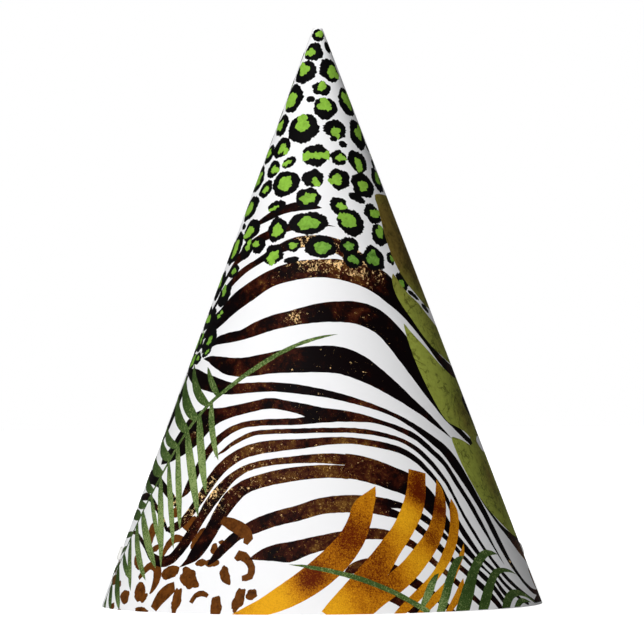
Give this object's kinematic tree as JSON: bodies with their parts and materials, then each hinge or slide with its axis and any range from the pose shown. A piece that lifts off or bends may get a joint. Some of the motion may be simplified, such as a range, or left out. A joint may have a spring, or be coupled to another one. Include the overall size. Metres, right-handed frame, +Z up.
{
  "type": "party hat",
  "caption": "Cone party hat of printed card, rolled and glued down its back, open at the rim for a head, with eyelet holes for a chin string.",
  "frame": {"origin": "centre of the rim's plane, on the cone's axis, where the hat rests on a table", "axes": "+Z up along the cone's axis to the tip, -Y out of the front, +Y towards the glued seam, +X to the right seen from the front"},
  "size_m": [0.133, 0.133, 0.174],
  "materials": {
    "printed_card": "smooth coated card with a satin gloss print, bare white inside",
    "glue_film": "clear dried glue",
    "eyelet_metal": "white enamel on thin pressed metal"
  },
  "bodies": {
    "root": {"hat_card": "printed_card", "seam_glue": "glue_film", "eyelet_left": "eyelet_metal", "eyelet_right": "eyelet_metal"}
  },
  "joints": []
}
